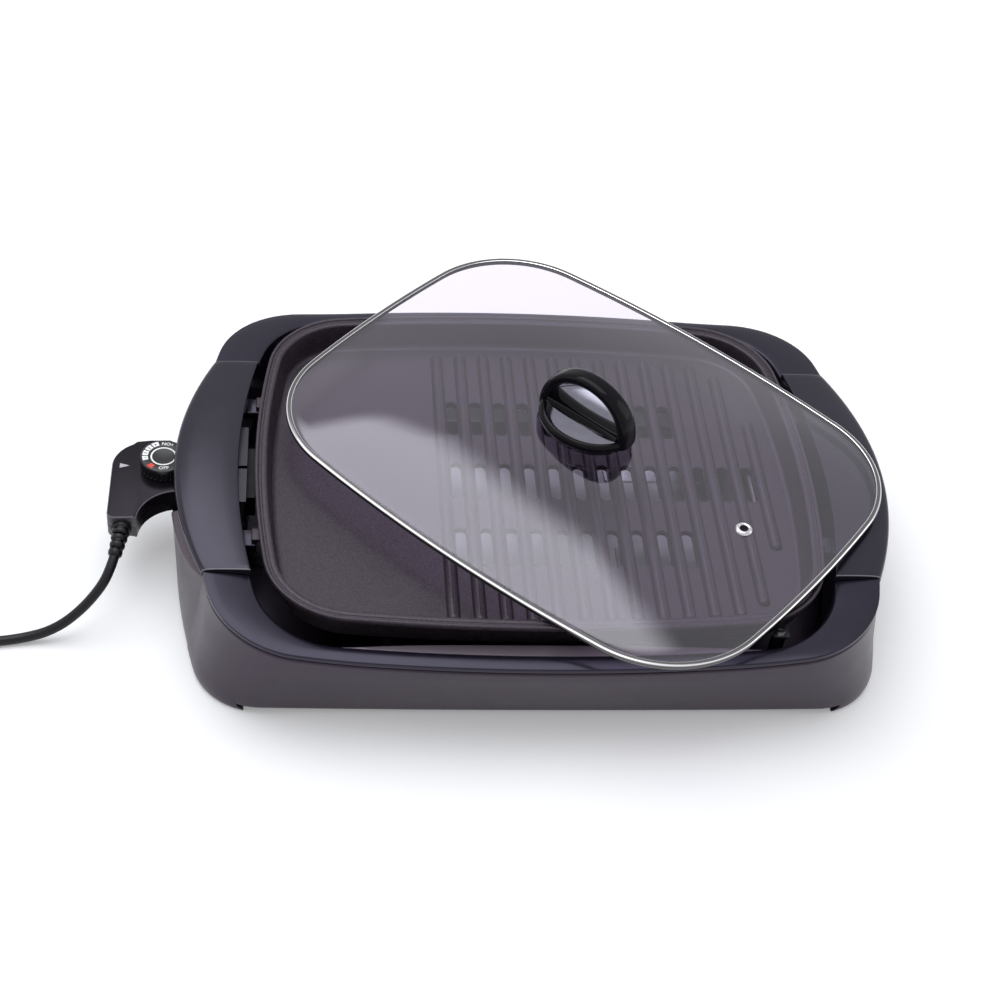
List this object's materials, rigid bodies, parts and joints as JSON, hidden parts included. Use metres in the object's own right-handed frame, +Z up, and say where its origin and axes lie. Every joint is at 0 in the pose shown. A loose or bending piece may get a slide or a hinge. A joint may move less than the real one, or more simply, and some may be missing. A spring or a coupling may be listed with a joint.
{
  "type": "electric indoor grill",
  "caption": "Table-top electric grill: ribbed non-stick plate over a fixed heating element in a plastic base with side handles, a loose domed glass lid and a plug-in thermostat probe on a cord.",
  "frame": {"origin": "centre of the base in plan, on the table that the feet stand on", "axes": "+X to the right along the base's length, away from the probe; +Y to the back; +Z up"},
  "size_m": [0.759, 0.424, 0.1525],
  "materials": {
    "charcoal_plastic": "matt",
    "bezel_plastic": "satin",
    "handle_plastic": "glossy",
    "foot_rubber": "matt",
    "screw_steel": "zinc plated",
    "tray_aluminium": "stamped",
    "sheet_steel": "plain",
    "element_steel": "oxidised sheath",
    "ceramic": "matt",
    "guard_steel": "plain",
    "nonstick_coating": "speckled non-stick",
    "lid_glass": "clear",
    "rim_steel": "polished",
    "knob_plastic": "glossy",
    "seal_rubber": "matt",
    "grommet_steel": "polished",
    "probe_plastic": "satin",
    "dial_plastic": "satin",
    "sensor_steel": "plain",
    "cord_rubber": "satin",
    "tie_plastic": "matt",
    "plug_brass": "plain"
  },
  "bodies": {
    "base": {"base_tub": "charcoal_plastic", "bottom_panel": "charcoal_plastic", "bezel_frame": "bezel_plastic", "left_handle": "handle_plastic", "right_handle": "handle_plastic", "rubber_feet": "foot_rubber", "base_screws": "screw_steel", "handle_screws": "screw_steel", "drip_tray": "tray_aluminium", "element_brackets": "sheet_steel", "bracket_screws": "screw_steel", "heating_element": "element_steel", "terminal_block": "ceramic", "terminal_pins": "screw_steel", "terminal_guard": "guard_steel", "thermowell": "sheet_steel"},
    "plate": {"grill_plate": "nonstick_coating"},
    "lid": {"lid_glass": "lid_glass", "lid_rim": "rim_steel", "lid_knob": "knob_plastic", "knob_seal": "seal_rubber", "knob_screw": "screw_steel", "vent_grommet": "grommet_steel"},
    "probe": {"probe_upper_shell": "probe_plastic", "probe_lower_shell": "probe_plastic", "probe_screws": "screw_steel", "thermostat_switch": "ceramic", "sensor_rod": "sensor_steel", "contact_sleeves": "sheet_steel", "strain_relief": "cord_rubber", "cord_run": "cord_rubber", "cord_coil": "cord_rubber", "cord_tie": "tie_plastic", "plug_body": "cord_rubber", "plug_blades": "plug_brass"},
    "dial": {"control_dial": "dial_plastic", "dial_shaft": "screw_steel"}
  },
  "joints": [
    {"name": "plate_lift", "type": "slide", "parent": "base", "child": "plate", "axis": [0, 0, 1], "range_m": [0, 0.12]},
    {"name": "lid_lift", "type": "slide", "parent": "plate", "child": "lid", "axis": [0, 0, 1], "range_m": [0, 0.15]},
    {"name": "probe_pull", "type": "slide", "parent": "base", "child": "probe", "axis": [-1, 0, 0], "range_m": [0, 0.12]},
    {"name": "dial_turn", "type": "hinge", "parent": "probe", "child": "dial", "pos_m": [-0.265, 0.0084, 0.07], "axis": [0, 0, 1], "range_deg": [-110, 90]}
  ]
}
